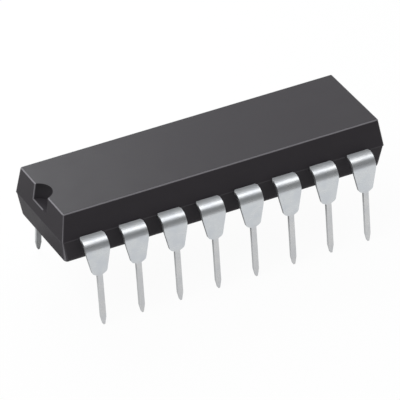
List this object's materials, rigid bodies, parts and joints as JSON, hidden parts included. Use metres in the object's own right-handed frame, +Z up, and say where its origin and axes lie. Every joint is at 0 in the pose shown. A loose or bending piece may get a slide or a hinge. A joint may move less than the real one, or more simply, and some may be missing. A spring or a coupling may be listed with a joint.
{
  "type": "dip integrated circuit chip",
  "caption": "Dual in-line chip package: a drafted moulded block with a half-round end notch and two rows of bent, tinned through-hole leads, with die, paddle and bond wires inside.",
  "frame": {"origin": "centre of the rectangle of pin tips, at the level on which the tips stand", "axes": "+X along the body away from the notch, +Y towards the second row of leads, +Z up out of the bare top face"},
  "size_m": [0.0216, 0.009, 0.0073],
  "materials": {
    "moulded_epoxy": "satin",
    "tinned_lead": "satin",
    "lead_frame_alloy": "satin",
    "silver_adhesive": "satin",
    "silicon": "gloss",
    "gold_wire": "polished"
  },
  "bodies": {
    "root": {"body": "moulded_epoxy", "lead_1": "tinned_lead", "lead_2": "tinned_lead", "lead_3": "tinned_lead", "lead_4": "tinned_lead", "lead_5": "tinned_lead", "lead_6": "tinned_lead", "lead_7": "tinned_lead", "lead_8": "tinned_lead", "lead_9": "tinned_lead", "lead_10": "tinned_lead", "lead_11": "tinned_lead", "lead_12": "tinned_lead", "lead_13": "tinned_lead", "lead_14": "tinned_lead", "lead_15": "tinned_lead", "lead_16": "tinned_lead", "die_paddle": "lead_frame_alloy", "die_attach": "silver_adhesive", "die": "silicon", "bond_wires": "gold_wire"}
  },
  "joints": []
}
